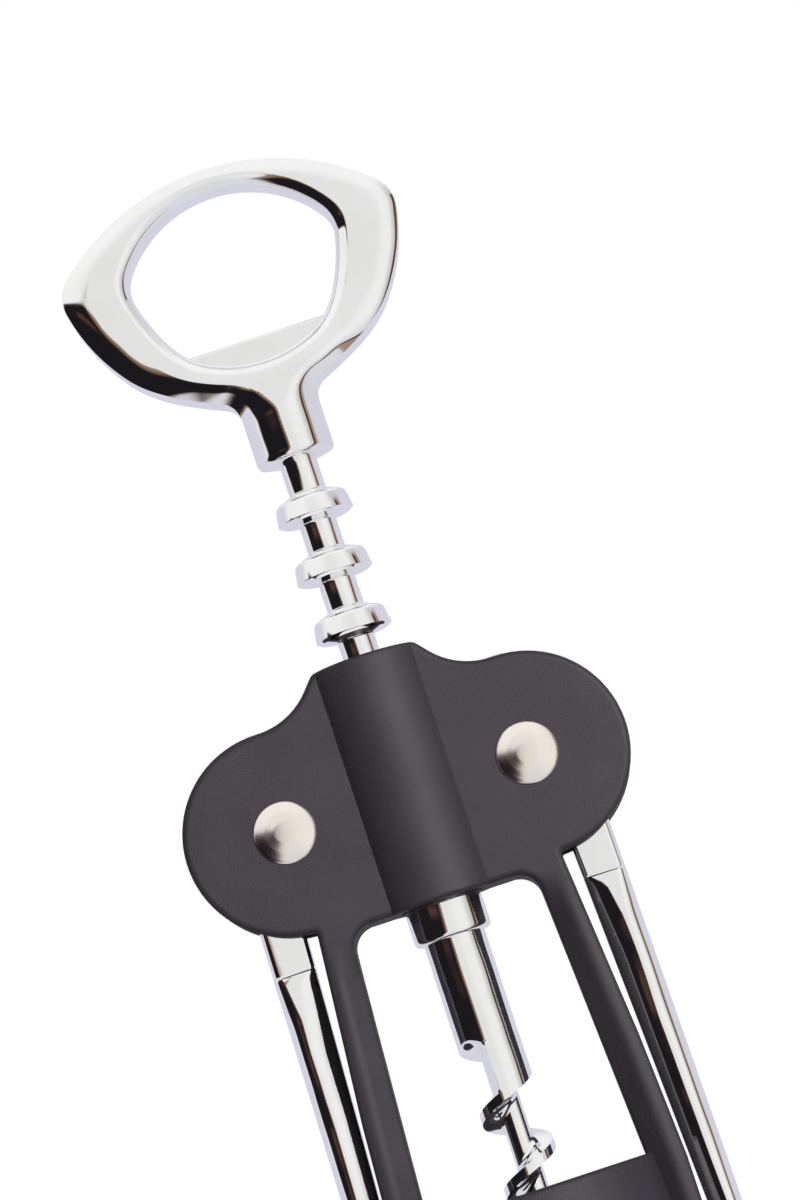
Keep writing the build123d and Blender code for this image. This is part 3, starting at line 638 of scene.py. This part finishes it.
def root_skin(side, face):
    """Front or rear half of a leg's top, flowing into the cheek. Its inner side follows the window's round
    and its outer side turns into the lobe with a small hollow; the crest flattens out on the way up. It
    stands a hair proud of the casting, and sinks into it at both ends."""
    grow, sunk_z = 0.015, 58.0
    fine = sunk_z + 12.2 * np.sin(np.linspace(0, np.pi / 2, 34))[1:]
    z = np.concatenate([[57.0, sunk_z], fine, np.linspace(70.3, 71.1, 9), [71.25, 71.5, 72.0, 72.6]])[:, None]
    inner, width = leg_side(z), LEG_W - (LEG_W - LEG_TOP_W) * (z - LEG_FULL_Z) / (PLATE_Z - LEG_FULL_Z)
    mid_z = PLATE_Z - WINDOW_R
    mid_x = leg_side(mid_z) - WINDOW_R / math.cos(LEG_LEAN)
    up = np.clip(z - mid_z, 0, WINDOW_R)
    round_x = mid_x + np.sqrt(WINDOW_R**2 - up**2)
    shrink = 0.04 * np.clip(sunk_z - z, 0, 1)
    left = np.where(up > WINDOW_R * math.sin(LEG_LEAN), round_x, inner) - grow + shrink
    notch = NOTCH_R - np.sqrt(NOTCH_R**2 - np.clip(z - LOBE_Z + NOTCH_R, 0, NOTCH_R) ** 2)
    right = inner + width + notch + grow - shrink
    x = left + (right - left) * (1 - np.cos(np.linspace(0, np.pi, 56)))[None] / 2
    high = z + 0 * x
    in_corner = (x > mid_x) & (high - mid_z > (x - mid_x) * math.tan(LEG_LEAN))
    window = np.maximum((x - inner) * math.cos(LEG_LEAN), high - PLATE_Z)
    window = np.where(in_corner, np.hypot(x - mid_x, high - mid_z) - WINDOW_R, window)
    inside = np.minimum(window, round_union(inner + width - x, high - LOBE_Z, NOTCH_R))
    past = np.clip(CHEEK_EDGE - inside - grow, 0, CHEEK_EDGE)
    cheek = CHEEK_HALF - CHEEK_EDGE + np.sqrt(CHEEK_EDGE**2 - past**2)
    blend = eased((z - 62.0) / 7.5)
    half = leg_half(np.clip(x - inner, 0, width), width) * (1 - blend) + cheek * blend
    half = half + grow - shrink - 0.08 * eased((z - 71.3) / 1.3)
    front = np.stack([side * x, face * half, high], -1)
    back = np.stack([side * x, face * SLOT_HALF + 0 * x, high], -1)[:, ::-1]
    return capped(np.concatenate([front, back], 1))


# Rivets


def rivet_skin(side, front):
    """Rivet half turned about its own axis: domed head outside the cheek and shank within it."""
    radius, length = RIVET_FRONT if front else RIVET_REAR
    head = [(0, 1.45), (1.5, 1.36), (2.9, 1.02), (4.05, 0.5), (4.4, 0.2), (4.4, 0), (radius, 0)]
    head += [(radius, -length), (0, -length)]
    profile = bead(head, (3, 3, 2, 0.25, 0.05, 0.1, 0.1), 6)
    points, faces = lathe(profile, 96)
    face = -1 if front else 1
    turned = np.stack([points[:, 0], face * points[:, 2], points[:, 1]], 1)
    return turned + np.array([side * PIVOT_X, face * CHEEK_HALF, PIVOT_Z]), faces


# Pieces

chrome = bright_chrome("bright_chrome")
black_paint = soft_black("soft_black")
nickel = satin_nickel("satin_nickel")
plastic = moulded_black("moulded_black")
steel = drawn_steel("drawn_steel")

piece("handle_casting", "screw", chrome, [handle_skin()], "chrome", "handle")
piece("cap_lip", "screw", chrome, [lip_skin()], "chrome")
piece("worm_auger", "screw", chrome, [worm_skin()], "chrome", "worm")
piece("ringed_rack", "rack", chrome, [lathe(rack_profile())], "chrome", "rack_sleeve")
right_arm = [arm_skin(), blade_skin()]
left_arm = [other_side(one) for one in right_arm]
piece("arm_right", "right_lever", chrome, right_arm, "chrome", "lever_right")
piece("arm_left", "left_lever", chrome, left_arm, "chrome", "lever_left")
black_pieces = [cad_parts["frame"]]
for side, word in ((-1, "left"), (1, "right")):
    halves = [root_skin(side, -1), root_skin(side, 1)]
    black_pieces.append(piece(f"leg_root_{word}", "frame", black_paint, halves, "soft_touch_black"))
    piece(f"rivet_front_{word}", "frame", nickel, [rivet_skin(side, True)], "nickel", f"rivet_post_{word}")
    piece(f"rivet_rear_{word}", "frame", nickel, [rivet_skin(side, False)], "nickel", f"rivet_cap_{word}")

for node, finish in (("frame", black_paint), ("neck_guide", plastic), ("handle_pin", steel)):
    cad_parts[node].data.materials.clear()
    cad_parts[node].data.materials.append(finish)


# Studio


def studio_floor():
    """Pale floor with a faint texture. It glows towards the camera, up to white where nothing shades it."""
    made, tree = material("pale_floor")
    cloud = tree.noise(tree.place(), 12.0)
    seen = tree.add("ShaderNodeLightPath", None, None, 0)
    inputs = {
        "Base Color": cloud.mixed((0.86, 0.86, 0.86, 1), (0.88, 0.88, 0.88, 1)),
        "Roughness": 0.9,
        "Emission Color": seen.mixed((0, 0, 0, 1), (0.9, 0.9, 0.9, 1)),
        "Emission Strength": 1.0,
    }
    tree.surface(inputs)
    mesh = bpy.data.meshes.new("studio_floor")
    far = 3.0
    mesh.from_pydata([(-far, -far, 0), (far, -far, 0), (far, far, 0), (-far, far, 0)], [], [(0, 1, 2, 3)])
    mesh.materials.append(made)
    floor = bpy.data.objects.new("studio_floor", mesh)
    bpy.context.scene.collection.objects.link(floor)
    floor.location.z = -0.0002
    floor.visible_glossy = False


def studio_world():
    """White tent with two dark cards: a broad low one on the left, whose brown edges slant and which has a
    brown fold across it, and a narrow upright one on the right. Seen directly the tent is plain white; metal
    sees it with its cards; other surfaces are lit by an even pale grey. Bearings, from the front towards +X,
    and heights are in degrees."""
    world = bpy.data.worlds.new("studio")
    bpy.context.scene.world = world
    tree = Tree(world)
    x, y, z = tree.split(tree.add("ShaderNodeTexCoord", None, None, 0))
    bearing = x.math("ARCTAN2", y * -1.0) * (180 / math.pi)
    height = z.math("ARCSINE") * (180 / math.pi)
    aside = bearing.math("ABSOLUTE")
    tent = aside.rise(6.0, 34.0).mixed((0.81, 0.81, 0.80, 1), (0.90, 0.90, 0.89, 1))
    tent = bearing.rise(50.0, 74.0).mixed(tent, (0.60, 0.58, 0.56, 1))
    tent = aside.rise(84.0, 108.0).mixed(tent, (0.68, 0.68, 0.78, 1))
    tent = height.rise(18.0, 60.0).mixed(tent, (0.95, 0.95, 0.95, 1))
    tent = height.rise(-20.0, -60.0).mixed(tent, (0.72, 0.72, 0.78, 1))
    over, low = height - 10.0, (height + 10.0).math("MINIMUM", 0.0)
    near = bearing - 0.33 * over - 0.25 * low
    far = bearing - 0.57 * over
    under = (height + 0.08 * bearing).rise(14.5, 12.0) * height.rise(-60.0, -46.0)
    brown = under * near.rise(-5.5, -7.5) * far.rise(-90.0, -88.0)
    black = under * near.rise(-8.0, -16.0) * far.rise(-87.0, -84.0)
    tent = brown.mixed(tent, (0.30, 0.19, 0.13, 1))
    tent = black.mixed(tent, (0.012, 0.010, 0.013, 1))
    fold = height.rise(9.0, 6.0) * height.rise(2.0, 6.0) * bearing.rise(-52.0, -44.0)
    tent = (fold * bearing.rise(-18.0, -26.0)).mixed(tent, (0.075, 0.038, 0.030, 1))
    edge = height.rise(24.0, 20.0) * height.rise(-78.0, -72.0)
    rim = edge * bearing.rise(73.0, 75.0) * bearing.rise(93.0, 91.0)
    core = edge * bearing.rise(75.0, 77.0) * bearing.rise(84.0, 82.0)
    tent = rim.mixed(tent, (0.36, 0.25, 0.19, 1))
    tent = core.mixed(tent, (0.05, 0.035, 0.03, 1))
    rays = tree.add("ShaderNodeLightPath")
    camera, _, _, glossy, _, _, transmission = [Socket(tree, o) for o in rays.output.node.outputs[:7]]
    seen = glossy.mixed((0.10, 0.10, 0.10, 1), tent)
    seen = camera.math("MAXIMUM", transmission).mixed(seen, (1.0, 1.0, 1.0, 1))
    light = tree.add("ShaderNodeBackground", None, {"Color": seen, "Strength": 1.0})
    tree.add("ShaderNodeOutputWorld", None, {"Surface": light})


def soft_box(name, place, size, power, lit=()):
    """Square area lamp that looks at the frame. Plating doesn't show it. One that is given pieces to light
    lights them alone, and only their gloss."""
    lamp = bpy.data.lights.new(name, "AREA")
    lamp.shape = "SQUARE"
    lamp.size = size
    lamp.energy = power
    made = bpy.data.objects.new(name, lamp)
    made.location = place
    aim = Vector((0, 0, 0.09)) - Vector(place)
    made.rotation_euler = aim.to_track_quat("-Z", "Y").to_euler()
    made.visible_glossy = bool(lit)
    made.visible_diffuse = not lit
    if lit:
        group = bpy.data.collections.new(f"lit_by_{name}")
        for one in lit:
            group.objects.link(one)
        made.light_linking.receiver_collection = group
    bpy.context.scene.collection.objects.link(made)


def camera():
    """Long lens, a little below the object and looking up at it, rolled so that the handle leans left."""
    lens = bpy.data.cameras.new("camera")
    lens.sensor_fit = "VERTICAL"
    lens.sensor_height = 36.0
    lens.lens = 132.27
    lens.clip_start = 0.01
    eye, aim = Vector((0.0076, -0.6153, 0.0284)), Vector((0.0076, 0.0, 0.11214))
    forward = (aim - eye).normalized()
    level = forward.cross(Vector((0, 0, 1))).normalized()
    upward = level.cross(forward)
    roll = math.radians(18.3)
    right = level * math.cos(roll) - upward * math.sin(roll)
    up = level * math.sin(roll) + upward * math.cos(roll)
    made = bpy.data.objects.new("camera", lens)
    made.matrix_world = Matrix.Translation(eye) @ Matrix((right, up, -forward)).transposed().to_4x4()
    bpy.context.scene.collection.objects.link(made)
    bpy.context.scene.camera = made


studio_floor()
studio_world()
soft_box("key_box", (0.55, -0.95, 0.38), 0.5, 12.0)
soft_box("sheen_box", (0.55, -0.95, 0.28), 0.5, 49.0, black_pieces)
soft_box("back_box", (-0.55, 0.95, 0.38), 0.5, 22.0)
camera()
bpy.context.scene.view_settings.view_transform = "Standard"
